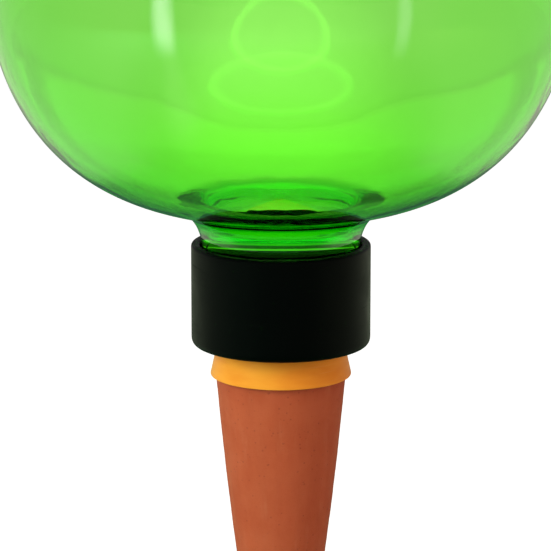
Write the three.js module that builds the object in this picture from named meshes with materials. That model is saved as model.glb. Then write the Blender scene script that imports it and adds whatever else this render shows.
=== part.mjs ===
import * as THREE from 'three';

// Watering globe: a blown glass reservoir, screwed neck down into a coupling collar on a hollow clay cone.
// Millimetres, +Z up. The origin is on the axis at the soil line, in the flat foot of the stop ring.

// Clearances
const seatGap = 0.3;          // between faces that seat on, or turn against, one another
const threadRoom = 0.7;       // radial room for the screw thread between neck and collar

// Spigot: a hollow stem with a head, which holds the collar to the cone
const stemBoreRadius = 6.4;
const stemWall = 2.6;
const stemReach = 14;         // below the soil line
const stemChamfer = 0.8;
const grooveDepth = 1;
const journalShoulder = 3;    // the journal in the collar's floor, proud of the stem
const headThickness = 2;
const headLand = 4.6;         // flat rim of the head, under the washer
const funnelDepth = 4;

// Seals
const sealSection = 3;        // thickness of the O-ring on the stem
const sealDepth = 8.5;        // its middle, below the soil line
const washerThickness = 2;
const washerWidth = 3.8;

// Clay cone
const mouthWall = 4.2;
const mouthDepth = 17;        // straight socket for the stem
const mouthChamfer = 0.6;
const taperLength = 90;       // rim to where the round of the tip begins
const taperStraightness = 0.66;  // 1 is a straight taper, less is a fuller one
const tipRadius = 4;
const coneWall = 3.4;
const coneFloor = 9;          // clay between the cavity and the round of the tip
const cavityTipRadius = 2;

// Stop ring
const ringHeight = 7.2;
const ringOverhang = 1.2;     // past the rim of the cone
const ringDraft = 1.6;        // narrower at the top by this
const ringEdge = 0.3;
const rebateDepth = 1.2;      // the rim of the cone sits in this

// Coupling collar
const collarRadius = 21.5;
const collarHeight = 24.7;
const collarWall = 2.2;
const collarFloor = 2.5;
const collarFootRound = 2;
const collarRimRound = 0.8;

// Glass globe
const globeRadius = 69;
const bowlDepth = 55.5;       // equator to the bottom of the bowl
const bowlFlatness = 2.85;    // 2 is an ellipse, more is flatter below
const domeRise = 65;          // equator to the top
const bellyWall = 1;
const bowlWall = 1.4;         // the glass gathers towards the neck
const neckLength = 24.5;      // lip to the bottom of the bowl
const neckWall = 1.4;
const lipRound = 0.6;
const flareReach = 8;         // neck to bowl, outside
const flareDrop = 11.5;
const throatReach = 3;        // bore to bowl, inside
const throatDrop = 3.5;

// Facets
const shellSteps = 48;
const innerSteps = 40;
const bowlSteps = 9;
const flareSteps = 5;
const taperSteps = 7;
const roundSteps = 3;
const sealSteps = 8;

// Radii, from what fits in what
const stemRadius = stemBoreRadius + stemWall;
const grooveRadius = stemRadius - grooveDepth;
const journalRadius = stemRadius + journalShoulder;
const mouthRadius = grooveRadius + seatGap + sealSection + seatGap;
const coneRadius = mouthRadius + mouthWall;
const ringRadius = coneRadius + ringOverhang;
const collarInside = collarRadius - collarWall;
const neckRadius = collarInside - threadRoom;
const neckBore = neckRadius - neckWall;

// Heights of the stack, from the soil line up
const coneRim = rebateDepth - seatGap;
const collarFoot = ringHeight + seatGap;
const collarFloorTop = collarFoot + collarFloor;
const collarRim = collarFoot + collarHeight;
const headFoot = collarFloorTop + seatGap;
const headTop = headFoot + headThickness;
const washerFoot = headTop + seatGap;
const washerTop = washerFoot + washerThickness;
const lip = washerTop + seatGap;
const equator = lip + neckLength + bowlDepth;

const at = (radius, height) => new THREE.Vector2(radius, height);

// Points of a round, with its angles in degrees from straight out
function round(radius, height, size, from, to) {
  const start = THREE.MathUtils.degToRad(from);
  const end = THREE.MathUtils.degToRad(to);
  return new THREE.EllipseCurve(radius, height, size, size, start, end, end < start).getPoints(roundSteps);
}

// Solid of revolution about Z, from an outline that runs with the material on its left.
// It ends on the axis or closes on itself.
function revolve(outline, steps) {
  const tiny = 1e-3;
  const apart = outline.filter((point, i) => i === 0 || point.distanceTo(outline[i - 1]) > tiny);
  const points = apart.map((point) => at(point.x < tiny ? 0 : point.x, point.y));
  if (points[0].x > 0) points.push(points[0].clone());
  return new THREE.LatheGeometry(points, steps).rotateX(Math.PI / 2);
}

// Half of a glass surface, from the equator to a pole: (radius share) ** flatness + (rise share) ** 2 is 1
class GlassCurve extends THREE.Curve {
  constructor(radius, rise, flatness, narrowest = 0) {
    super();
    this.radius = radius;
    this.rise = rise;
    this.flatness = flatness;
    this.lastAngle = Math.acos((narrowest / radius) ** (flatness / 2));
  }

  getPoint(t, target = new THREE.Vector2()) {
    const angle = t * this.lastAngle;
    const radius = this.radius * Math.max(0, Math.cos(angle)) ** (2 / this.flatness);
    return target.set(radius, equator + this.rise * Math.sin(angle));
  }
}

// One side of the glass, from a straight neck or bore through its flare, the bowl and the dome to the top
function glassSide(straight, reach, drop, radius, depth, rise) {
  const meet = straight + reach;
  const bowl = new GlassCurve(radius, -depth, bowlFlatness, meet);
  const dome = new GlassCurve(radius, rise, 2);
  const end = bowl.getPoint(1);
  const heading = bowl.getTangent(1);
  const corner = at(straight, end.y - (heading.y / heading.x) * reach);
  const flare = new THREE.QuadraticBezierCurve(at(straight, corner.y - drop), corner, end);
  return [
    ...flare.getPoints(flareSteps),
    ...bowl.getPoints(bowlSteps).toReversed(),
    ...dome.getPoints(bowlSteps),
  ];
}

function globeGeometry() {
  const outside = glassSide(neckRadius, flareReach, flareDrop, globeRadius, bowlDepth, domeRise);
  const inside = glassSide(
    neckBore, throatReach, throatDrop, globeRadius - bellyWall, bowlDepth - bowlWall, domeRise - bellyWall,
  );
  const mouth = [
    ...round(neckBore + lipRound, lip + lipRound, lipRound, 180, 270),
    ...round(neckRadius - lipRound, lip + lipRound, lipRound, 270, 360),
  ];
  return revolve([...inside.toReversed(), ...mouth, ...outside], shellSteps);
}

function collarGeometry() {
  const hole = journalRadius + seatGap;
  return revolve([
    at(hole, collarFoot),
    ...round(collarRadius - collarFootRound, collarFoot + collarFootRound, collarFootRound, 270, 360),
    ...round(collarRadius - collarRimRound, collarRim - collarRimRound, collarRimRound, 0, 90),
    ...round(collarInside + collarRimRound, collarRim - collarRimRound, collarRimRound, 90, 180),
    at(collarInside, collarFloorTop),
    at(hole, collarFloorTop),
  ], shellSteps);
}

function washerGeometry() {
  const inside = neckRadius - washerWidth;
  return revolve([
    at(inside, washerFoot),
    at(neckRadius, washerFoot),
    at(neckRadius, washerTop),
    at(inside, washerTop),
  ], innerSteps);
}

function spigotGeometry() {
  const grooveHalf = sealSection / 2 + seatGap;
  const shoulder = ringHeight + seatGap;
  return revolve([
    at(stemBoreRadius, -stemReach),
    at(stemRadius - stemChamfer, -stemReach),
    at(stemRadius, stemChamfer - stemReach),
    at(stemRadius, -sealDepth - grooveHalf),
    at(grooveRadius, -sealDepth - grooveHalf),
    at(grooveRadius, -sealDepth + grooveHalf),
    at(stemRadius, -sealDepth + grooveHalf),
    at(stemRadius, shoulder),
    at(journalRadius, shoulder),
    at(journalRadius, headFoot),
    at(neckRadius, headFoot),
    at(neckRadius, headTop),
    at(neckRadius - headLand, headTop),
    at(stemBoreRadius, headTop - funnelDepth),
  ], innerSteps);
}

function stemSealGeometry() {
  const middle = grooveRadius + seatGap + sealSection / 2;
  return new THREE.TorusGeometry(middle, sealSection / 2, sealSteps, innerSteps).translate(0, 0, -sealDepth);
}

function ringGeometry() {
  const bore = stemRadius + seatGap;
  const rebate = coneRadius + seatGap;
  return revolve([
    at(bore, rebateDepth),
    at(rebate, rebateDepth),
    at(rebate, 0),
    at(ringRadius - ringEdge, 0),
    at(ringRadius, ringEdge),
    at(ringRadius - ringDraft, ringHeight),
    at(bore, ringHeight),
  ], innerSteps);
}

// Taper of the clay, from a depth below the rim to its narrow end, and the round end that is tangent to it
function clayTaper(wide, narrow, length, fromDepth) {
  const points = [];
  for (let i = 0; i <= taperSteps; i += 1) {
    const depth = THREE.MathUtils.lerp(fromDepth, length, i / taperSteps);
    const share = depth / length;
    const narrowed = taperStraightness * share + (1 - taperStraightness) * share ** 2;
    points.push(at(wide - (wide - narrow) * narrowed, coneRim - depth));
  }
  const tilt = Math.atan(((wide - narrow) / length) * (2 - taperStraightness));
  const endRound = narrow / Math.cos(tilt);
  const middle = coneRim - length + endRound * Math.sin(tilt);
  return [...points, ...round(0, middle, endRound, -THREE.MathUtils.radToDeg(tilt), -90)];
}

function coneGeometry() {
  const outside = clayTaper(coneRadius, tipRadius, taperLength, mouthChamfer);
  const cavity = clayTaper(coneRadius - coneWall, cavityTipRadius, taperLength - coneFloor, mouthDepth);
  return revolve([
    ...outside.toReversed(),
    at(coneRadius - mouthChamfer, coneRim),
    at(mouthRadius + mouthChamfer, coneRim),
    at(mouthRadius, coneRim - mouthChamfer),
    at(mouthRadius, coneRim - mouthDepth),
    ...cavity,
  ], innerSteps);
}

function piece(name, geometry, look) {
  const mesh = new THREE.Mesh(geometry, new THREE.MeshStandardMaterial(look));
  mesh.name = name;
  return mesh;
}

const greenGlass = { color: '#5fdc35', roughness: 0.04, metalness: 0, transparent: true, opacity: 0.45 };
const blackMoulding = { color: '#0b0d0d', roughness: 0.38, metalness: 0 };
const blackRubber = { color: '#1a1a1a', roughness: 0.8, metalness: 0 };
const orangeMoulding = { color: '#dd8628', roughness: 0.4, metalness: 0 };
const firedClay = { color: '#a85234', roughness: 0.9, metalness: 0 };

const wateringGlobe = new THREE.Group();
wateringGlobe.add(
  piece('globe', globeGeometry(), greenGlass),
  piece('collar', collarGeometry(), blackMoulding),
  piece('washer', washerGeometry(), blackRubber),
  piece('spigot', spigotGeometry(), blackMoulding),
  piece('stem_seal', stemSealGeometry(), blackRubber),
  piece('ring', ringGeometry(), orangeMoulding),
  piece('cone', coneGeometry(), firedClay),
);

export default wateringGlobe;
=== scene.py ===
"""Watering globe: a green glass reservoir, screwed neck down into a collar on a clay cone."""

import math

import bmesh
import bpy
from bpy.props import FloatProperty, FloatVectorProperty, IntProperty, PointerProperty
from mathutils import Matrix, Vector, noise


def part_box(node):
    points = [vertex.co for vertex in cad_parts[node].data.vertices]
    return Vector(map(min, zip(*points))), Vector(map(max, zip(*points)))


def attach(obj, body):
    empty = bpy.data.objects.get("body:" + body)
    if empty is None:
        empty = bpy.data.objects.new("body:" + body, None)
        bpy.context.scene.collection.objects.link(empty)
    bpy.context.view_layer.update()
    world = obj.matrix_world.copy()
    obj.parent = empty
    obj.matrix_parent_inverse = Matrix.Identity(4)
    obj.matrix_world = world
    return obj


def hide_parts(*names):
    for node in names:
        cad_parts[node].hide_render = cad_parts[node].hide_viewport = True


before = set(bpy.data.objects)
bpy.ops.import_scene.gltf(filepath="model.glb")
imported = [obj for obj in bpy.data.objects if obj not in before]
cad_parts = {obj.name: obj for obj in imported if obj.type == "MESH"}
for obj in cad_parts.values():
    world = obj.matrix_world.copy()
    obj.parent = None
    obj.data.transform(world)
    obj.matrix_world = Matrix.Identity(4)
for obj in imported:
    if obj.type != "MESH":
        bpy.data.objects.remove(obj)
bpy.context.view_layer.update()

bl_info = {
    "name": "Watering Globe",
    "version": (1, 0, 0),
    "blender": (4, 5, 0),
    "location": "View3D > Sidebar > Watering Globe",
    "description": "Builds a glass watering globe on a clay cone, and a stage to show it on",
    "category": "Add Mesh",
}

FULL_TURN = 2 * math.pi
SHARP_EDGE = math.radians(40)
ON_AXIS = 1e-7                # a smaller radius, in metres, is a point on the axis
SAME_PLACE = 1e-6             # metres
SLOPE_STEP = 1e-4             # radians along the bowl, to find its slope

# Fits and hidden sizes, in metres

SEAT_GAP = 0.0003             # between faces that seat on, or turn against, one another
NECK_THREAD_START = 0.0016    # above the lip
NECK_THREAD_END = 0.0001      # below the flare
COLLAR_THREAD_START = 0.0052  # above the floor of the collar
COLLAR_THREAD_END = 0.0022    # below its rim
JOURNAL_SHOULDER = 0.003      # journal in the collar's floor, proud of the stem
GROOVE_DEPTH = 0.001          # groove of the stem seal
STEM_CHAMFER = 0.0008
HEAD_THICKNESS = 0.002
HEAD_LAND = 0.0046            # flat rim of the spigot's head, under the washer
FUNNEL_DEPTH = 0.004
SEAL_FLASH = 0.00006          # line that the mould leaves around the stem seal
MOUTH_WALL = 0.0042           # clay around the socket
TAPER_LENGTH = 0.09           # rim of the cone to where the round of its tip begins
CONE_FLOOR = 0.009            # clay between the cavity and the round of the tip
CAVITY_TIP = 0.002

# Rounds of edges, in metres

FINE_ROUND = 0.0002
SMALL_ROUND = 0.0003
SOFT_ROUND = 0.0004
WIDE_ROUND = 0.0006
REBATE_ROUND = 0.00015
RIM_ROUND = 0.001             # rim of the cone, inwards
RIM_DROP = 0.0012             # and downwards
SOCKET_ROUND = 0.0008

# Waves of the glass and marks of the clay, for each metre where no unit is given

WAVES_ACROSS = 60
WAVES_ALONG = 22
WAVES_FADE = 0.02             # metres from the bore in which they set in
MARKS_ACROSS = 40
MARKS_ALONG = 900
LUMPS = 170
LUMP_SHARE = 0.9              # of the depth of the marks
MARKS_START = 0.001           # metres from the axis
MARKS_FADE = 0.003            # metres in which they set in

# Facets

FLARE_ROWS = 26
BOWL_ROWS = 56
DOME_ROWS = 48
LIP_ROWS = 6
BORE_ROWS = 30
NECK_ROWS = 84
THREAD_SPACING = 0.0002       # metres between rows of the collar's thread
SKIN_SPACING = 0.002          # and of its plain skin
TAPER_ROWS = 130
CAVITY_ROWS = 40
SOCKET_ROWS = 12
RIM_ROWS = 5
TIP_ROWS = 10
SEAL_POINTS = 20
COLLAR_COLUMNS = 176
RING_COLUMNS = 160
CONE_COLUMNS = 144
SMALL_COLUMNS = 96

# Floor, light and camera

FLOOR_GAP = 0.0001            # floor below the tip of the cone, in metres
FLOOR_TO_CAMERA = 0.86        # brightness that makes the floor white
CARD_REACH = (0.315, 0.345)   # metres over which a strip card fades out
RING_AIM = (0, 0, -0.01)
BOWL_AIM = (0, 0.02, 0.09)
STRIP_AIM = (0, 0, 0.215)
CAMERA_SPOT = (-0.0013, -0.7825, 0.1985)
CAMERA_DOWN = 12.563          # degrees below level
SENSOR_WIDTH = 36             # millimetres


def outer_radius(node):
    """Radius of a turned piece of the frame."""
    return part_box(node)[1][0]


def foot(node):
    """Height of the lowest point of a piece of the frame."""
    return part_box(node)[0][2]


def top(node):
    """Height of the highest point of a piece of the frame."""
    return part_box(node)[1][2]


def length(name, description, default):
    """Property for a size in metres."""
    return FloatProperty(name=name, description=description, default=default, min=0,
                         subtype="DISTANCE", unit="LENGTH", precision=5)


def share(name, description, default):
    """Property for a share from 0 to 1."""
    return FloatProperty(name=name, description=description, default=default, min=0, max=1,
                         subtype="FACTOR")


def watts(name, description, default):
    """Property for the power of a lamp."""
    return FloatProperty(name=name, description=description, default=default, min=0, unit="POWER")


def colour(name, description, default):
    """Property for a colour in linear light."""
    return FloatVectorProperty(name=name, description=description, default=default, min=0, max=1,
                               size=3, subtype="COLOR")


# Sizes and colours that a user would change

class ThreadSettings(bpy.types.PropertyGroup):
    """Screw thread between the neck and the collar."""

    lead: length("Lead", "Rise of the thread in one turn", 0.0045)
    height: length("Height", "How far the thread stands out of its wall", 0.00048)
    half_width: length("Half width", "Half of the width of the thread at its foot", 0.00095)


class GlassSettings(bpy.types.PropertyGroup):
    """Blown glass reservoir."""

    neck_length: length("Neck length", "Lip to the bottom of the bowl", 0.0245)
    bowl_depth: length("Bowl depth", "Widest part to the bottom of the bowl", 0.0555)
    bowl_flatness: FloatProperty(name="Bowl flatness", default=2.85, min=2, max=4,
                                 description="2 is an ellipse, more is flatter below")
    neck_wall: length("Neck wall", "Glass at the neck", 0.0014)
    bowl_wall: length("Bowl wall", "Glass at the bottom of the bowl", 0.0014)
    belly_wall: length("Belly wall", "Glass at the widest part", 0.001)
    flare_reach: length("Flare reach", "Neck to bowl along the radius, outside", 0.008)
    flare_drop: length("Flare drop", "Height of the flare on the neck, outside", 0.0115)
    throat_reach: length("Throat reach", "Bore to bowl along the radius, inside", 0.003)
    throat_drop: length("Throat drop", "Height of the throat in the bore, inside", 0.0035)
    lip_round: length("Lip round", "Round of the fire-polished lip", 0.0006)
    waves: length("Waves", "Uneven thickness that blowing leaves in the wall", 0.00006)
    tint: colour("Tint", "Colour that the glass lets through", (0.475, 0.955, 0.07))
    density: FloatProperty(name="Density", default=1200, min=0, max=3000,
                           description="How strongly a metre of glass takes other colours out")
    columns: IntProperty(name="Columns", description="Facets around the globe", default=192,
                         min=32, max=512)


class CollarSettings(bpy.types.PropertyGroup):
    """Moulded coupling collar and the spigot that it turns on."""

    wall: length("Wall", "Thickness of the skirt", 0.0022)
    floor: length("Floor", "Thickness of the floor", 0.0025)
    foot_round: length("Foot round", "Round between the skirt and the floor", 0.002)
    rim_round: length("Rim round", "Round of the rim", 0.0008)
    stem_bore: length("Stem bore", "Radius of the bore of the spigot", 0.0064)
    stem_wall: length("Stem wall", "Thickness of the stem of the spigot", 0.0026)
    body: colour("Colour", "Colour of the plastic", (0.0004, 0.0008, 0.0009))
    worn: colour("Worn colour", "Colour where handling has dulled it", (0.004, 0.005, 0.005))


class SealSettings(bpy.types.PropertyGroup):
    """Rubber washer and stem seal."""

    washer_width: length("Washer width", "Width of the flat washer", 0.0038)
    body: colour("Colour", "Colour of the rubber", (0.008, 0.008, 0.0085))
    bloom: colour("Bloom", "Colour of the pale bloom on the rubber", (0.03, 0.03, 0.032))


class RingSettings(bpy.types.PropertyGroup):
    """Stop ring between the collar and the cone."""

    draft: length("Draft", "How much narrower it is at the top", 0.0016)
    edge: length("Edge", "Round of its edges", 0.0004)
    rebate: length("Rebate", "Depth of the seat for the rim of the cone", 0.0012)
    body: colour("Colour", "Colour of the plastic", (0.84, 0.35, 0.03))
    deep: colour("Deep colour", "Colour where the plastic is more dense", (0.78, 0.28, 0.02))
    scuffed: colour("Scuffed colour", "Colour of scuffs", (0.82, 0.42, 0.12))


class ClaySettings(bpy.types.PropertyGroup):
    """Hollow clay cone."""

    wall: length("Wall", "Thickness of the clay", 0.0034)
    mouth_depth: length("Mouth depth", "Straight socket for the spigot", 0.017)
    straightness: share("Straightness", "1 is a straight taper, less is a fuller one", 0.66)
    tip: length("Tip", "Radius at the narrow end", 0.004)
    wheel_marks: length("Wheel marks", "Depth of the rings that shaping leaves", 0.00004)
    body: colour("Colour", "Colour of the fired clay", (0.45, 0.096, 0.034))
    # The dark colour also serves as the painted shade under the ring.
    dark: colour("Dark colour", "Colour of the patches fired harder", (0.35, 0.062, 0.021))
    grog: colour("Grog colour", "Colour of the grains in the clay", (0.2, 0.04, 0.018))
    bloom: colour("Bloom colour", "Colour of the salts that dry on it", (0.53, 0.2, 0.1))


class StageSettings(bpy.types.PropertyGroup):
    """Floor, light and camera."""

    floor_size: length("Floor size", "Length of each side of the floor", 24.0)
    floor_colour: colour("Floor colour", "Colour of the floor", (0.6, 0.6, 0.6))
    # Painted light: in reflections the floor takes this green colour, which stands in for light that
    # the glass tints green on its way to the floor.
    green_light_in_reflected_floor: colour("Mirrored floor", "Colour of the floor in reflections",
                           (0.1, 0.42, 0.2))
    key_power: watts("Key power", "Soft lamp on the left", 6.0)
    fill_power: watts("Fill power", "Weak lamp on the right", 2.2)
    top_power: watts("Top power", "Round lamp above the camera", 2.4)
    ambient: share("Ambient", "Even light from all around", 0.2)
    lens: FloatProperty(name="Lens", description="Focal length on a 36 mm frame, in millimetres",
                        default=218.7, min=1, subtype="DISTANCE_CAMERA", unit="CAMERA")


SETTINGS = {
    "globe_thread": ThreadSettings,
    "globe_glass": GlassSettings,
    "globe_collar": CollarSettings,
    "globe_seals": SealSettings,
    "globe_ring": RingSettings,
    "globe_clay": ClaySettings,
    "globe_stage": StageSettings,
}


# Turned shapes

def bend(start, corner, end, steps):
    """Points of a smooth bend from start to end, drawn towards a corner."""
    points = []
    for step in range(steps + 1):
        t = step / steps
        a, b, c = (1 - t) ** 2, 2 * t * (1 - t), t ** 2
        points.append((a * start[0] + b * corner[0] + c * end[0],
                       a * start[1] + b * corner[1] + c * end[1]))
    return points


def along(start, end, steps):
    """Evenly spaced points from start to end."""
    return bend(start, ((start[0] + end[0]) / 2, (start[1] + end[1]) / 2), end, steps)


def softened(corners, steps=5):
    """Closed outline through (radius, height, round) corners, each one eased over its round."""
    points = []
    for before, corner, after in zip(corners[-1:] + corners[:-1], corners,
                                     corners[1:] + corners[:1]):
        here = Vector(corner[:2])
        reach = corner[2]
        if not reach:
            points.append(tuple(here))
            continue
        back = (Vector(before[:2]) - here).normalized() * reach
        ahead = (Vector(after[:2]) - here).normalized() * reach
        points += bend(here + back, here, here + ahead, steps)
    return points


def tagged(points, skin):
    """Outline points with the name of the skin that they belong to."""
    return [(point[0], point[1], skin) for point in points]


def turned(name, outline, columns, relief=None):
    """Closed piece of revolution about Z.

    relief(angle, radius, height, skin) gives the radius of a tagged point.
    """
    bm = bmesh.new()
    rings = []
    for point in outline:
        radius, height = point[0], point[1]
        if radius < ON_AXIS:
            rings.append([bm.verts.new((0, 0, height))])
            continue
        ring = []
        for column in range(columns):
            angle = FULL_TURN * column / columns
            reach = relief(angle, radius, height, point[2]) if relief else radius
            ring.append(bm.verts.new((reach * math.cos(angle), reach * math.sin(angle), height)))
        rings.append(ring)
    bands = list(zip(rings, rings[1:]))
    if len(rings[0]) > 1:
        bands.append((rings[-1], rings[0]))
    for near, far in bands:
        for column in range(columns):
            after = (column + 1) % columns
            corners = (near[column % len(near)], near[after % len(near)],
                       far[after % len(far)], far[column % len(far)])
            bm.faces.new(dict.fromkeys(corners))
    bmesh.ops.recalc_face_normals(bm, faces=bm.faces)
    mesh = bpy.data.meshes.new(name)
    bm.to_mesh(mesh)
    bm.free()
    mesh.shade_smooth()
    mesh.set_sharp_from_angle(angle=SHARP_EDGE)
    piece = bpy.data.objects.new(name, mesh)
    bpy.context.scene.collection.objects.link(piece)
    return piece


def seated(piece, material, body, node):
    """Gives a piece its finish and lets it stand for a node of the frame."""
    piece.data.materials.append(material)
    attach(piece, body)
    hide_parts(node)


def eased(value):
    """Smooth step of a value from 0 to 1."""
    value = min(1.0, max(0.0, value))
    return value * value * (3 - 2 * value)


def thread_share(angle, height, first, last, offset, settings):
    """Share of its full height that a right-hand thread has at a point."""
    turn = height / settings.lead - angle / FULL_TURN + offset
    away = abs(turn - round(turn)) * settings.lead
    crest = 1 - eased(away / settings.half_width)
    run = settings.lead / 4
    return crest * eased((height - first) / run) * eased((last - height) / run)


# Nodes

def give(tree, socket, value):
    """Links an input to the socket that it is given, or sets it to the value."""
    if isinstance(value, bpy.types.NodeSocket):
        tree.links.new(value, socket)
    else:
        socket.default_value = value


def place(tree, kind, inputs=None, **settings):
    """Adds a node. Each input is given a socket to link or a value."""
    node = tree.nodes.new(kind)
    for name, value in settings.items():
        setattr(node, name, value)
    for name, value in (inputs or {}).items():
        give(tree, node.inputs[name], value)
    return node


def fed(tree, shader, **sockets):
    """Links or sets the inputs of a shader."""
    for name, value in sockets.items():
        give(tree, shader.inputs[name.replace("_", " ")], value)


def sums(tree, operation, first, second=0.0, third=0.0, clamp=False):
    """Output of a Math node."""
    inputs = {0: first, 1: second, 2: third}
    return place(tree, "ShaderNodeMath", inputs, operation=operation, use_clamp=clamp).outputs[0]


def times(tree, first, second, clamp=False):
    """Product of two values."""
    return sums(tree, "MULTIPLY", first, second, clamp=clamp)


def ranged(tree, value, low, high, to_low=0.0, to_high=1.0):
    """Output of a smooth Map Range node."""
    inputs = {"Value": value, "From Min": low, "From Max": high,
              "To Min": to_low, "To Max": to_high}
    return place(tree, "ShaderNodeMapRange", inputs, interpolation_type="SMOOTHSTEP").outputs[0]


def either(tree, choice, first, second):
    """First value where the choice is 0, second value where it is 1."""
    return place(tree, "ShaderNodeMix", {0: choice, 2: first, 3: second}).outputs[0]


def blended(tree, factor, first, second):
    """Output of a colour Mix node."""
    first = first if isinstance(first, bpy.types.NodeSocket) else (*first, 1)
    second = second if isinstance(second, bpy.types.NodeSocket) else (*second, 1)
    inputs = {0: factor, 6: first, 7: second}
    return place(tree, "ShaderNodeMix", inputs, data_type="RGBA").outputs[2]


def on_piece(tree):
    """Object coordinates."""
    return place(tree, "ShaderNodeTexCoord").outputs["Object"]


def scaled(tree, vector, scale):
    """Vector times a scale for each axis."""
    inputs = {0: vector, 1: scale}
    return place(tree, "ShaderNodeVectorMath", inputs, operation="MULTIPLY").outputs[0]


def stretched(tree, across, along_axis):
    """Object coordinates, scaled across the axis and along it."""
    return scaled(tree, on_piece(tree), (across, across, along_axis))


def split(tree, vector):
    """X, Y and Z of a vector."""
    return place(tree, "ShaderNodeSeparateXYZ", {0: vector}).outputs


def grainy(tree, vector, scale, detail, roughness):
    """Output of a Noise Texture node."""
    inputs = {"Vector": vector, "Scale": scale, "Detail": detail, "Roughness": roughness}
    return place(tree, "ShaderNodeTexNoise", inputs).outputs[0]


def bumped(tree, height, strength, distance):
    """Normal from a height, over a distance in metres."""
    inputs = {"Height": height, "Strength": strength, "Distance": distance}
    return place(tree, "ShaderNodeBump", inputs).outputs[0]


# Effects that more than one finish uses

def group(name, inputs, outputs):
    """New node group with float inputs and outputs. Returns it with its two end nodes."""
    tree = bpy.data.node_groups.new(name, "ShaderNodeTree")
    for label, value in inputs.items():
        socket = tree.interface.new_socket(label, in_out="INPUT", socket_type="NodeSocketFloat")
        socket.default_value = value
    for label in outputs:
        tree.interface.new_socket(label, in_out="OUTPUT", socket_type="NodeSocketFloat")
    given = tree.nodes.new("NodeGroupInput").outputs
    return tree, given, tree.nodes.new("NodeGroupOutput").inputs


def moulded_grain():
    """Fine texture of a moulded skin: Height for bump, Patches for slow changes of gloss."""
    if "Moulded grain" in bpy.data.node_groups:
        return bpy.data.node_groups["Moulded grain"]
    tree, given, out = group("Moulded grain", {"Scale": 2500.0}, ("Height", "Patches"))
    spot = on_piece(tree)
    fine = grainy(tree, spot, given["Scale"], detail=2.0, roughness=0.6)
    tree.links.new(fine, out["Height"])
    slow = grainy(tree, spot, times(tree, given["Scale"], 0.03), detail=3.0, roughness=0.55)
    tree.links.new(ranged(tree, slow, 0.3, 0.7), out["Patches"])
    return tree


def turning_scuffs():
    """Fine scratches around the axis, left by turning: Mask."""
    if "Turning scuffs" in bpy.data.node_groups:
        return bpy.data.node_groups["Turning scuffs"]
    tree, given, out = group("Turning scuffs", {"Amount": 0.3}, ("Mask",))
    hair = grainy(tree, stretched(tree, 60.0, 5200.0), scale=1.0, detail=2.0, roughness=0.6)
    where = grainy(tree, stretched(tree, 55.0, 120.0), scale=1.0, detail=2.0, roughness=0.5)
    lines = times(tree, ranged(tree, hair, 0.62, 0.74), ranged(tree, where, 0.45, 0.68))
    tree.links.new(times(tree, lines, given["Amount"], clamp=True), out["Mask"])
    return tree


def settled_dust():
    """Dust on what faces up: Mask."""
    if "Settled dust" in bpy.data.node_groups:
        return bpy.data.node_groups["Settled dust"]
    tree, given, out = group("Settled dust", {"Amount": 0.3}, ("Mask",))
    facing = split(tree, place(tree, "ShaderNodeNewGeometry").outputs["Normal"])
    level = ranged(tree, facing["Z"], 0.35, 0.95)
    dust = grainy(tree, on_piece(tree), scale=1800.0, detail=4.0, roughness=0.7)
    specks = times(tree, level, ranged(tree, dust, 0.42, 0.7))
    tree.links.new(times(tree, specks, given["Amount"], clamp=True), out["Mask"])
    return tree


def water_marks():
    """Tide lines and runs that water leaves when it dries: Mask."""
    if "Water marks" in bpy.data.node_groups:
        return bpy.data.node_groups["Water marks"]
    tree, given, out = group("Water marks", {"Scale": 60.0, "Amount": 0.4}, ("Mask",))
    runs = grainy(tree, stretched(tree, 3.0, 0.35), given["Scale"], detail=4.0, roughness=0.6)
    patches = grainy(tree, on_piece(tree), given["Scale"], detail=3.0, roughness=0.5)
    mask = times(tree, ranged(tree, runs, 0.48, 0.72), ranged(tree, patches, 0.4, 0.62))
    tree.links.new(times(tree, mask, given["Amount"], clamp=True), out["Mask"])
    return tree


def grouped(tree, shared, **values):
    """Places a shared group with its own values."""
    node = tree.nodes.new("ShaderNodeGroup")
    node.node_tree = shared
    for name, value in values.items():
        node.inputs[name].default_value = value
    return node.outputs


# Finishes

def finish(name):
    """New material. Returns it with its tree and its shader."""
    material = bpy.data.materials.new(name)
    material.use_nodes = True
    tree = material.node_tree
    return material, tree, tree.nodes["Principled BSDF"]


def green_glass(settings):
    """Clear blown glass that takes its green from its thickness."""
    material, tree, shader = finish("green glass")
    output = tree.nodes["Material Output"]
    marks = grouped(tree, water_marks(), Scale=45.0, Amount=0.5)["Mask"]
    ripple = grainy(tree, on_piece(tree), scale=130.0, detail=1.0, roughness=0.4)
    fed(tree, shader, Base_Color=(1, 1, 1, 1), Metallic=0.0, IOR=1.5, Transmission_Weight=1.0)
    fed(tree, shader, Roughness=ranged(tree, marks, 0.0, 1.0, 0.0, 0.05))
    fed(tree, shader, Normal=bumped(tree, ripple, strength=0.12, distance=0.0004))
    shadow = place(tree, "ShaderNodeLightPath").outputs["Is Shadow Ray"]
    clear = place(tree, "ShaderNodeBsdfTransparent", {"Color": (0.55, 0.95, 0.42, 1)})
    mixed = place(tree, "ShaderNodeMixShader",
                  {0: shadow, 1: shader.outputs[0], 2: clear.outputs[0]})
    tree.links.new(mixed.outputs[0], output.inputs["Surface"])
    body = place(tree, "ShaderNodeVolumeAbsorption",
                 {"Color": (*settings.tint, 1), "Density": settings.density})
    tree.links.new(body.outputs[0], output.inputs["Volume"])
    return material


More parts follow.
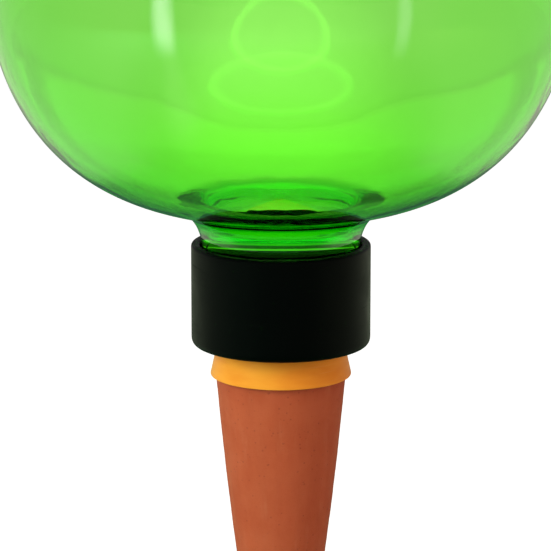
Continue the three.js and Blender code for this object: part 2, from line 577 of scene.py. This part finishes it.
def black_plastic(settings):
    """Black moulded plastic with a satin skin."""
    material, tree, shader = finish("black plastic")
    grain = grouped(tree, moulded_grain(), Scale=2600.0)
    scuffs = grouped(tree, turning_scuffs(), Amount=0.6)["Mask"]
    dust = grouped(tree, settled_dust(), Amount=0.35)["Mask"]
    worn = sums(tree, "MAXIMUM", scuffs, dust)
    base = blended(tree, worn, settings.body, settings.worn)
    gloss = ranged(tree, grain["Patches"], 0.0, 1.0, 0.33, 0.45)
    fed(tree, shader, Base_Color=base, Metallic=0.0, IOR=1.47)
    fed(tree, shader, Roughness=sums(tree, "ADD", gloss, worn, clamp=True))
    fed(tree, shader, Specular_IOR_Level=0.045)
    fed(tree, shader, Normal=bumped(tree, grain["Height"], strength=0.25, distance=0.00004))
    return material


def black_rubber(settings):
    """Matt black rubber with a little pale bloom."""
    material, tree, shader = finish("black rubber")
    grain = grouped(tree, moulded_grain(), Scale=1700.0)
    base = blended(tree, grain["Patches"], settings.body, settings.bloom)
    fed(tree, shader, Base_Color=base, Metallic=0.0, IOR=1.5)
    fed(tree, shader, Roughness=ranged(tree, grain["Patches"], 0.0, 1.0, 0.62, 0.8))
    fed(tree, shader, Normal=bumped(tree, grain["Height"], strength=0.4, distance=0.00008))
    return material


def orange_plastic(settings):
    """Orange moulded plastic with a satin skin."""
    material, tree, shader = finish("orange plastic")
    grain = grouped(tree, moulded_grain(), Scale=2200.0)
    scuffs = grouped(tree, turning_scuffs(), Amount=0.35)["Mask"]
    swirl = grainy(tree, stretched(tree, 70.0, 260.0), scale=1.0, detail=3.0, roughness=0.55)
    base = blended(tree, ranged(tree, swirl, 0.35, 0.68), settings.body, settings.deep)
    base = blended(tree, scuffs, base, settings.scuffed)
    fed(tree, shader, Base_Color=base, Metallic=0.0, IOR=1.48, Specular_IOR_Level=0.25)
    fed(tree, shader, Roughness=ranged(tree, grain["Patches"], 0.0, 1.0, 0.36, 0.5))
    fed(tree, shader, Normal=bumped(tree, grain["Height"], strength=0.2, distance=0.00004))
    return material


def fired_clay(settings):
    """Unglazed fired clay: grog, pores, patches, painted shade at the top under the ring and a trace
    of dried salts.
    """
    material, tree, shader = finish("fired clay")
    spot = on_piece(tree)
    patches = grainy(tree, spot, scale=95.0, detail=4.0, roughness=0.6)
    streaks = grainy(tree, stretched(tree, 420.0, 40.0), scale=1.0, detail=3.0, roughness=0.55)
    shade = sums(tree, "ADD", times(tree, patches, 0.6), times(tree, streaks, 0.4))
    base = blended(tree, ranged(tree, shade, 0.34, 0.72, 0.0, 0.5), settings.body, settings.dark)
    cells = place(tree, "ShaderNodeTexVoronoi",
                  {"Vector": spot, "Scale": 950.0, "Randomness": 1.0})
    grains = ranged(tree, cells.outputs["Distance"], 0.3, 0.12)
    chosen = grainy(tree, spot, scale=700.0, detail=1.0, roughness=0.5)
    grog = times(tree, grains, ranged(tree, chosen, 0.52, 0.64))
    # Painted shade: the clay is darkened over its top 7 mm, just under the ring, where the ring's
    # shade falls, more in some patches than in others.
    shade_under_ring = times(tree, ranged(tree, split(tree, spot)["Z"], -0.007, 0.0),
                 ranged(tree, patches, 0.2, 0.7, 0.2, 0.6))
    sand = grainy(tree, spot, scale=3200.0, detail=3.0, roughness=0.65)
    # Painted shade under the ring, together with fine darker stains from the sand noise.
    shade_and_stain = sums(tree, "MAXIMUM", shade_under_ring, ranged(tree, sand, 0.5, 0.75, 0.0, 0.35))
    shaded_and_stained = blended(tree, shade_and_stain, base, settings.dark)
    flecked = blended(tree, times(tree, grog, 0.5), shaded_and_stained, settings.grog)
    marks = grouped(tree, water_marks(), Scale=110.0, Amount=0.2)["Mask"]
    dust = grouped(tree, settled_dust(), Amount=0.2)["Mask"]
    pale = blended(tree, sums(tree, "MAXIMUM", marks, dust), flecked, settings.bloom)
    fed(tree, shader, Base_Color=pale, Metallic=0.0, IOR=1.5, Specular_IOR_Level=0.5)
    fed(tree, shader, Roughness=ranged(tree, patches, 0.3, 0.7, 0.7, 0.85))
    pores = sums(tree, "SUBTRACT", sand, times(tree, grog, 0.8))
    fed(tree, shader, Normal=bumped(tree, pores, strength=0.55, distance=0.00009))
    return material


# Pieces

class WATERING_OT_glass_globe(bpy.types.Operator):
    """Blow the glass reservoir, with its neck, lip and screw thread"""

    bl_idname = "watering.glass_globe"
    bl_label = "Glass globe"

    def execute(self, context):
        sizes = context.scene.globe_glass
        thread = context.scene.globe_thread
        lip = foot("globe")
        neck = outer_radius("washer")
        belly = outer_radius("globe")
        bore = neck - sizes.neck_wall
        equator = lip + sizes.neck_length + sizes.bowl_depth
        rise = top("globe") - equator

        def side(straight, reach, drop, radius, depth, height, skin):
            """One side of the glass, from the neck through its flare, bowl and dome to the top."""
            flatness = sizes.bowl_flatness
            last = math.acos(((straight + reach) / radius) ** (flatness / 2))

            def bowl(angle):
                """Point of the bowl, at an angle below its widest part."""
                across = radius * math.cos(angle) ** (2 / flatness)
                return across, equator - depth * math.sin(angle)

            end = bowl(last)
            before = bowl(last - SLOPE_STEP)
            slope = (before[1] - end[1]) / (before[0] - end[0])
            corner = (straight, end[1] - slope * reach)
            points = bend((straight, corner[1] - drop), corner, end, FLARE_ROWS)
            points += [bowl(last * (1 - step / BOWL_ROWS)) for step in range(1, BOWL_ROWS + 1)]
            for step in range(1, DOME_ROWS + 1):
                angle = step / DOME_ROWS * math.pi / 2
                across = radius * math.cos(angle) if step < DOME_ROWS else 0.0
                points.append((across, equator + height * math.sin(angle)))
            return tagged(points, skin)

        outside = side(neck, sizes.flare_reach, sizes.flare_drop, belly,
                       sizes.bowl_depth, rise, "outside")
        inside = side(bore, sizes.throat_reach, sizes.throat_drop, belly - sizes.belly_wall,
                      sizes.bowl_depth - sizes.bowl_wall, rise - sizes.belly_wall, "inside")
        polish = sizes.lip_round
        inner_lip = bend((bore, lip + polish), (bore, lip), (bore + polish, lip), LIP_ROWS)
        outer_lip = bend((neck - polish, lip), (neck, lip), (neck, lip + polish), LIP_ROWS)
        bore_rows = along(inside[0][:2], inner_lip[0], BORE_ROWS)[1:-1]
        neck_rows = along(outer_lip[-1], outside[0][:2], NECK_ROWS)[1:-1]
        outline = inside[::-1] + tagged(bore_rows + inner_lip, "bore")
        outline += tagged(outer_lip + neck_rows, "neck") + outside
        first = lip + NECK_THREAD_START
        last = outside[0][1] - NECK_THREAD_END

        def relief(angle, radius, height, skin):
            """Thread on the neck, and the waves inside the bowl."""
            if skin == "neck":
                crest = thread_share(angle, height, first, last, 0.0, thread)
                return radius + thread.height * crest
            if skin == "inside":
                across = WAVES_ACROSS * radius
                wave = noise.noise((across * math.cos(angle), across * math.sin(angle),
                                    WAVES_ALONG * height))
                return radius + sizes.waves * wave * eased((radius - bore) / WAVES_FADE)
            return radius

        globe = turned("glass_globe", outline, sizes.columns, relief)
        seated(globe, green_glass(sizes), "globe", "globe")
        return {"FINISHED"}


class WATERING_OT_collar(bpy.types.Operator):
    """Mould the coupling collar, with its inside thread"""

    bl_idname = "watering.collar"
    bl_label = "Coupling collar"

    def execute(self, context):
        sizes = context.scene.globe_collar
        thread = context.scene.globe_thread
        low, high, outer = foot("collar"), top("collar"), outer_radius("collar")
        inner = outer - sizes.wall
        hole = sizes.stem_bore + sizes.stem_wall + JOURNAL_SHOULDER + SEAT_GAP
        bottom = low + sizes.floor
        skirt = softened([
            (hole, low, SMALL_ROUND),
            (outer, low, sizes.foot_round),
            (outer, high, sizes.rim_round),
            (inner, high, sizes.rim_round),
            (inner, bottom, SOFT_ROUND),
            (hole, bottom, SMALL_ROUND),
        ], steps=8)
        outline = []
        for before, after in zip(skirt, skirt[1:] + skirt[:1]):
            inside = all(abs(point[0] - inner) < SAME_PLACE for point in (before, after))
            spacing = THREAD_SPACING if inside else SKIN_SPACING
            steps = max(1, round(math.dist(before, after) / spacing))
            outline += tagged(along(before, after, steps)[:-1], "thread" if inside else "skin")
        first = bottom + COLLAR_THREAD_START
        last = high - COLLAR_THREAD_END

        def relief(angle, radius, height, skin):
            """Inside thread, half a turn from the one on the neck."""
            if skin != "thread":
                return radius
            crest = thread_share(angle, height, first, last, 0.5, thread)
            return radius - thread.height * crest

        collar = turned("collar_shell", outline, COLLAR_COLUMNS, relief)
        seated(collar, black_plastic(sizes), "collar", "collar")
        return {"FINISHED"}


class WATERING_OT_spigot(bpy.types.Operator):
    """Mould the spigot that holds the collar to the cone, in the collar's plastic"""

    bl_idname = "watering.spigot"
    bl_label = "Spigot"

    def execute(self, context):
        sizes = context.scene.globe_collar
        low, high, head = foot("spigot"), top("spigot"), outer_radius("spigot")
        bore = sizes.stem_bore
        stem = bore + sizes.stem_wall
        journal = stem + JOURNAL_SHOULDER
        groove = stem - GROOVE_DEPTH
        shoulder = top("ring") + SEAT_GAP
        under_head = high - HEAD_THICKNESS
        seal = (foot("stem_seal") + top("stem_seal")) / 2
        half_groove = (top("stem_seal") - foot("stem_seal")) / 2 + SEAT_GAP
        outline = softened([
            (bore, low, FINE_ROUND),
            (stem - STEM_CHAMFER, low, FINE_ROUND),
            (stem, low + STEM_CHAMFER, FINE_ROUND),
            (stem, seal - half_groove, FINE_ROUND),
            (groove, seal - half_groove, FINE_ROUND),
            (groove, seal + half_groove, FINE_ROUND),
            (stem, seal + half_groove, FINE_ROUND),
            (stem, shoulder, FINE_ROUND),
            (journal, shoulder, FINE_ROUND),
            (journal, under_head, FINE_ROUND),
            (head, under_head, SMALL_ROUND),
            (head, high, SOFT_ROUND),
            (head - HEAD_LAND, high, WIDE_ROUND),
            (bore, high - FUNNEL_DEPTH, WIDE_ROUND),
        ], steps=4)
        spigot = turned("spigot_body", outline, SMALL_COLUMNS)
        plastic = bpy.data.materials["black plastic"]
        seated(spigot, plastic, "cone_body", "spigot")
        return {"FINISHED"}


class WATERING_OT_seals(bpy.types.Operator):
    """Mould the rubber washer under the lip and the seal on the stem"""

    bl_idname = "watering.seals"
    bl_label = "Rubber seals"

    def execute(self, context):
        sizes = context.scene.globe_seals
        rubber = black_rubber(sizes)
        low, high, outer = foot("washer"), top("washer"), outer_radius("washer")
        inner = outer - sizes.washer_width
        outline = softened([
            (inner, low, SOFT_ROUND),
            (outer, low, SOFT_ROUND),
            (outer, high, SOFT_ROUND),
            (inner, high, SOFT_ROUND),
        ])
        washer = turned("lip_washer", outline, SMALL_COLUMNS)
        seated(washer, rubber, "cone_body", "washer")
        low, high, outer = foot("stem_seal"), top("stem_seal"), outer_radius("stem_seal")
        section = (high - low) / 2
        middle = (high + low) / 2
        centre = outer - section
        outline = []
        for step in range(SEAL_POINTS):
            angle = FULL_TURN * step / SEAL_POINTS
            reach = section if step in (0, SEAL_POINTS // 2) else section - SEAL_FLASH
            outline.append((centre + reach * math.cos(angle), middle + reach * math.sin(angle)))
        seal = turned("stem_o_ring", outline, SMALL_COLUMNS)
        seated(seal, rubber, "cone_body", "stem_seal")
        return {"FINISHED"}


class WATERING_OT_stop_ring(bpy.types.Operator):
    """Mould the stop ring that rests on the soil"""

    bl_idname = "watering.stop_ring"
    bl_label = "Stop ring"

    def execute(self, context):
        sizes = context.scene.globe_ring
        collar = context.scene.globe_collar
        low, high, outer = foot("ring"), top("ring"), outer_radius("ring")
        bore = collar.stem_bore + collar.stem_wall + SEAT_GAP
        seat = outer_radius("cone") + SEAT_GAP
        outline = softened([
            (bore, low + sizes.rebate, FINE_ROUND),
            (seat, low + sizes.rebate, FINE_ROUND),
            (seat, low, REBATE_ROUND),
            (outer, low, sizes.edge),
            (outer - sizes.draft, high, sizes.edge),
            (bore, high, SMALL_ROUND),
        ])
        ring = turned("stop_ring", outline, RING_COLUMNS)
        seated(ring, orange_plastic(sizes), "cone_body", "ring")
        return {"FINISHED"}


class WATERING_OT_clay_cone(bpy.types.Operator):
    """Throw the hollow clay cone"""

    bl_idname = "watering.clay_cone"
    bl_label = "Clay cone"

    def execute(self, context):
        sizes = context.scene.globe_clay
        rim, wide = top("cone"), outer_radius("cone")
        mouth = wide - MOUTH_WALL

        def sides(start, narrow, reach, from_depth, rows):
            """Taper of the clay from a depth to its narrow end, and its round end."""
            points = []
            for step in range(rows + 1):
                depth = from_depth + (reach - from_depth) * step / rows
                part = depth / reach
                narrowed = sizes.straightness * part + (1 - sizes.straightness) * part ** 2
                points.append((start - (start - narrow) * narrowed, rim - depth))
            tilt = math.atan((start - narrow) / reach * (2 - sizes.straightness))
            size = narrow / math.cos(tilt)
            middle = rim - reach + size * math.sin(tilt)
            for step in range(1, TIP_ROWS + 1):
                angle = -tilt - (math.pi / 2 - tilt) * step / TIP_ROWS
                across = size * math.cos(angle) if step < TIP_ROWS else 0.0
                points.append((across, middle + size * math.sin(angle)))
            return points

        outer = sides(wide, sizes.tip, TAPER_LENGTH, RIM_DROP, TAPER_ROWS)
        cavity = sides(wide - sizes.wall, CAVITY_TIP, TAPER_LENGTH - CONE_FLOOR,
                       sizes.mouth_depth, CAVITY_ROWS)
        rim_out = bend(outer[0], (wide, rim), (wide - RIM_ROUND, rim), RIM_ROWS)
        rim_in = bend((mouth + SOCKET_ROUND, rim), (mouth, rim), (mouth, rim - SOCKET_ROUND),
                      RIM_ROWS)
        socket = along(rim_in[-1], (mouth, rim - sizes.mouth_depth), SOCKET_ROWS)[1:]
        outline = tagged(outer[:0:-1], "outside") + tagged(rim_out + rim_in + socket, "rim")
        outline += tagged(cavity, "inside")

        def relief(angle, radius, height, skin):
            """Wheel marks and lumps, which fade out towards the axis."""
            if skin == "rim":
                return radius
            x, y = radius * math.cos(angle), radius * math.sin(angle)
            mark = noise.noise((MARKS_ACROSS * x, MARKS_ACROSS * y, MARKS_ALONG * height))
            lump = noise.noise((LUMPS * x, LUMPS * y, LUMPS * height))
            fade = eased((radius - MARKS_START) / MARKS_FADE)
            return radius - sizes.wheel_marks * (1 + mark + LUMP_SHARE * lump) * fade

        cone = turned("clay_cone", outline, CONE_COLUMNS, relief)
        seated(cone, fired_clay(sizes), "cone_body", "cone")
        return {"FINISHED"}


# Stage

def board(name, half_width, half_length, level, material):
    """Flat rectangle that belongs to the stage and not to the object."""
    mesh = bpy.data.meshes.new(name)
    signs = ((-1, -1), (1, -1), (1, 1), (-1, 1))
    mesh.from_pydata([(x * half_width, y * half_length, level) for x, y in signs],
                     [], [(0, 1, 2, 3)])
    mesh.materials.append(material)
    flat = bpy.data.objects.new(name, mesh)
    bpy.context.scene.collection.objects.link(flat)
    return flat


def lamp(name, spot, aim, size, power, tint, shape="RECTANGLE"):
    """Area lamp at a spot and facing a point, which the camera sees neither plainly nor in glass."""
    light = bpy.data.lights.new(name, "AREA")
    light.shape = shape
    light.size, light.size_y = size
    light.energy = power
    light.color = tint
    holder = bpy.data.objects.new(name, light)
    holder.location = spot
    holder.rotation_euler = (Vector(aim) - Vector(spot)).to_track_quat("-Z", "Y").to_euler()
    holder.visible_camera = holder.visible_glossy = holder.visible_transmission = False
    bpy.context.scene.collection.objects.link(holder)


def card(name, spot, aim, size, strength, ring=False):
    """Soft-edged card of light that lights nothing and shows only in glass and gloss.

    A strip shows in gloss and fades out with distance. A ring shows through glass.
    """
    wide, tall = size[0] / 2, size[1] / 2
    material, tree, shader = finish(name)
    even = scaled(tree, on_piece(tree), (1 / wide, 1 / tall, 1))
    if ring:
        away = place(tree, "ShaderNodeVectorMath", {0: even}, operation="LENGTH").outputs["Value"]
        shape = times(tree, ranged(tree, away, 0.74, 0.9, 0.12, 1.0),
                      ranged(tree, away, 0.93, 1.0, 1.0, 0.0))
        level = strength
    else:
        spread = split(tree, even)
        shape = times(tree, ranged(tree, sums(tree, "ABSOLUTE", spread["X"]), 0.1, 1.0, 1.0, 0.0),
                      ranged(tree, spread["Y"], -1.0, -0.7))
        distance = place(tree, "ShaderNodeLightPath").outputs["Ray Length"]
        level = ranged(tree, distance, *CARD_REACH, strength, 0.0)
    glow = place(tree, "ShaderNodeEmission", {"Strength": times(tree, shape, level)})
    clear = place(tree, "ShaderNodeBsdfTransparent")
    both = place(tree, "ShaderNodeAddShader", {0: glow.outputs[0], 1: clear.outputs[0]})
    tree.links.new(both.outputs[0], tree.nodes["Material Output"].inputs["Surface"])
    tree.nodes.remove(shader)
    flat = board(name, wide, tall, 0, material)
    flat.location = spot
    flat.rotation_euler = (Vector(spot) - Vector(aim)).to_track_quat("Z", "Y").to_euler()
    flat.visible_camera = flat.visible_diffuse = flat.visible_shadow = False
    flat.visible_glossy = not ring
    flat.visible_transmission = ring


def floor_through_glass(tree, spot, sideways):
    """Brightness of the floor seen through glass, and its share of green, by place on the floor.

    A bright pool lies behind the object, and the floor close behind it is dim at both sides.
    """
    pool = times(tree, ranged(tree, sideways, 0.015, 0.08, 1.0, 0.0),
                 ranged(tree, spot["Y"], 0.25, 0.7))
    depth = ranged(tree, spot["Y"], 0.95, 1.3, 0.34, 0.2)
    plain = ranged(tree, spot["Y"], 0.1, 0.4, 0.3, 0.66)
    glow = sums(tree, "MULTIPLY_ADD", pool, depth, plain)
    flank = times(tree, ranged(tree, sideways, 0.028, 0.048),
                  ranged(tree, sideways, 0.09, 0.12, 1.0, 0.0))
    dim = times(tree, flank, ranged(tree, spot["Y"], 0.38, 0.47, 0.85, 0.0))
    green = times(tree, pool, ranged(tree, spot["Y"], 0.6, 0.9, 1.0, 0.0))
    return times(tree, glow, sums(tree, "SUBTRACT", 1.0, dim)), green


def floor_in_gloss(tree, spot, sideways):
    """Brightness that the mirrored floor has besides its colour, by place on the floor.

    It is bright at the sides and in front, with a narrow spill at the left.
    """
    reach = sums(tree, "MAXIMUM", times(tree, spot["Y"], -0.8), times(tree, spot["Y"], 0.15))
    slant = sums(tree, "DIVIDE", sideways, sums(tree, "ADD", reach, 0.1))
    aside = times(tree, ranged(tree, slant, 0.4, 1.7, 0.0, 0.75),
                  ranged(tree, sideways, 0.1, 0.145, 0.3, 1.0))
    ahead = ranged(tree, spot["Y"], -0.8, -0.3, 0.6, 0.0)
    across = sums(tree, "MULTIPLY_ADD", spot["X"], 0.75, times(tree, spot["Y"], -0.66))
    spill = times(tree, ranged(tree, sums(tree, "ABSOLUTE", across), 0.0, 0.045, 0.6, 0.0),
                  ranged(tree, spot["X"], -0.14, -0.08, 1.0, 0.0))
    return sums(tree, "ADD", sums(tree, "MAXIMUM", aside, ahead), spill)


def floor_finish(settings):
    """Pale floor that is white to the camera, keeps the shadow and has its own levels in glass."""
    material, tree, shader = finish("pale floor")
    path = place(tree, "ShaderNodeLightPath").outputs
    through = path["Is Transmission Ray"]
    mirrored = sums(tree, "SUBTRACT", path["Is Glossy Ray"], through, clamp=True)
    spot = split(tree, place(tree, "ShaderNodeNewGeometry").outputs["Position"])
    sideways = sums(tree, "ABSOLUTE", spot["X"])
    glow, green = floor_through_glass(tree, spot, sideways)
    gloss = floor_in_gloss(tree, spot, sideways)
    in_glass = sums(tree, "MULTIPLY_ADD", mirrored, gloss, times(tree, through, glow))
    to_camera = times(tree, path["Is Camera Ray"], FLOOR_TO_CAMERA)
    # Painted light: in reflections the floor's colour is the green of the mirrored floor setting,
    # standing in for light that the glass tints green.
    base = blended(tree, mirrored, settings.floor_colour, settings.green_light_in_reflected_floor)
    warm = blended(tree, mirrored, (1, 1, 1), (1, 0.96, 0.74))
    tinted = blended(tree, times(tree, through, green), warm, (0.86, 1, 0.55))
    fed(tree, shader, Base_Color=base, Roughness=0.9, Specular_IOR_Level=0.0)
    fed(tree, shader, Emission_Color=tinted)
    fed(tree, shader, Emission_Strength=sums(tree, "ADD", to_camera, in_glass))
    return material


def world_through_glass(tree, way):
    """Brightness of the world seen through glass, by direction.

    The backdrop is bright and has a dark line low down. It ends overhead in a dark edge.
    """
    level = ranged(tree, way["Z"], 0.88, 0.98, 0.08, 0.2)
    slope = sums(tree, "MAXIMUM", sums(tree, "MULTIPLY_ADD", way["Z"], -1.07, 0.93), level)
    edge = sums(tree, "SUBTRACT", way["Y"], slope)
    beside = ranged(tree, sums(tree, "ABSOLUTE", way["X"]), 0.25, 0.45, 0.72, 1.5)
    skirting = sums(tree, "MAXIMUM", ranged(tree, way["Z"], 0.07, 0.09, 1.0, 0.1),
                    ranged(tree, way["Z"], 0.17, 0.31, 0.1, 1.0))
    backdrop = ranged(tree, way["Y"], 0.55, 0.65, 1.5, times(tree, beside, skirting))
    ahead = ranged(tree, edge, -0.1, -0.04, 0.5, 0.0)
    return ranged(tree, edge, -0.02, 0.02, ahead, backdrop)


def surroundings(settings):
    """World that is white to the camera, dim to what it lights and has its own levels in glass."""
    world = bpy.data.worlds.new("studio")
    world.use_nodes = True
    tree = world.node_tree
    tree.nodes.clear()
    path = place(tree, "ShaderNodeLightPath").outputs
    way = split(tree, place(tree, "ShaderNodeTexCoord").outputs["Generated"])
    gloss = ranged(tree, way["Y"], -0.2, 0.3, 0.35, 0.6)
    beyond = either(tree, path["Is Transmission Ray"], gloss, world_through_glass(tree, way))
    in_glass = times(tree, path["Is Glossy Ray"], beyond)
    shown = sums(tree, "MAXIMUM", path["Is Camera Ray"], in_glass)
    ambient = times(tree, path["Is Diffuse Ray"], settings.ambient)
    strength = sums(tree, "MAXIMUM", shown, ambient)
    sky = place(tree, "ShaderNodeBackground", {"Color": (1, 1, 1, 1), "Strength": strength})
    output = tree.nodes.new("ShaderNodeOutputWorld")
    tree.links.new(sky.outputs[0], output.inputs["Surface"])
    return world


class WATERING_OT_stage(bpy.types.Operator):
    """Set up the floor, the soft lamps, the cards of light and the camera"""

    bl_idname = "watering.stage"
    bl_label = "Stage"

    def execute(self, context):
        scene = context.scene
        settings = scene.globe_stage
        half = settings.floor_size / 2
        board("floor", half, half, foot("cone") - FLOOR_GAP, floor_finish(settings))
        scene.world = surroundings(settings)
        lamp("key lamp", spot=(-0.62, -0.42, 0.3), aim=RING_AIM, size=(0.35, 0.5),
             power=settings.key_power, tint=(0.97, 1, 0.93))
        lamp("fill lamp", spot=(0.75, -0.35, 0.2), aim=RING_AIM, size=(0.3, 0.45),
             power=settings.fill_power, tint=(1, 0.5, 0.3))
        lamp("top lamp", spot=(0, -0.75, 0.76), aim=BOWL_AIM, size=(0.62, 0.62),
             power=settings.top_power, tint=(1, 0.78, 0.62), shape="DISK")
        card("left card", spot=(-0.238, -0.27, 0.215), aim=STRIP_AIM, size=(0.07, 0.53),
             strength=6.6)
        card("right card", spot=(0.245, -0.263, 0.215), aim=STRIP_AIM, size=(0.05, 0.53),
             strength=2.4)
        card("ring card", spot=(0, -0.802, 0.7), aim=BOWL_AIM, size=(0.78, 0.89),
             strength=2.8, ring=True)
        card("wide card", spot=(0, -0.409, 1.152), aim=BOWL_AIM, size=(1.09, 0.92),
             strength=1.9, ring=True)
        camera = bpy.data.cameras.new("camera")
        camera.lens = settings.lens
        camera.sensor_width = SENSOR_WIDTH
        holder = bpy.data.objects.new("camera", camera)
        holder.location = CAMERA_SPOT
        holder.rotation_euler = (math.radians(90 - CAMERA_DOWN), 0, 0)
        scene.collection.objects.link(holder)
        scene.camera = holder
        scene.view_settings.view_transform = "Standard"
        return {"FINISHED"}


class WATERING_PT_builder(bpy.types.Panel):
    """Settings of the watering globe and the steps that build it"""

    bl_idname = "WATERING_PT_builder"
    bl_label = "Watering globe"
    bl_space_type = "VIEW_3D"
    bl_region_type = "UI"
    bl_category = "Watering Globe"

    def draw(self, context):
        for step in STEPS:
            self.layout.operator(step.bl_idname)
        for name, kind in SETTINGS.items():
            box = self.layout.box()
            box.label(text=kind.__doc__)
            for field in kind.__annotations__:
                box.prop(getattr(context.scene, name), field)


STEPS = (
    WATERING_OT_glass_globe,
    WATERING_OT_collar,
    WATERING_OT_spigot,
    WATERING_OT_seals,
    WATERING_OT_stop_ring,
    WATERING_OT_clay_cone,
    WATERING_OT_stage,
)
CLASSES = (*SETTINGS.values(), *STEPS, WATERING_PT_builder)


def register():
    """Adds the settings, the steps and the panel."""
    for kind in CLASSES:
        bpy.utils.register_class(kind)
    for name, kind in SETTINGS.items():
        setattr(bpy.types.Scene, name, PointerProperty(type=kind))


def unregister():
    """Takes the panel, the steps and the settings out again."""
    for name in SETTINGS:
        delattr(bpy.types.Scene, name)
    for kind in reversed(CLASSES):
        bpy.utils.unregister_class(kind)


def main():
    """Builds every piece and the stage."""
    register()
    bpy.ops.watering.glass_globe()
    bpy.ops.watering.collar()
    bpy.ops.watering.spigot()
    bpy.ops.watering.seals()
    bpy.ops.watering.stop_ring()
    bpy.ops.watering.clay_cone()
    bpy.ops.watering.stage()


if __name__ == "__main__":
    main()
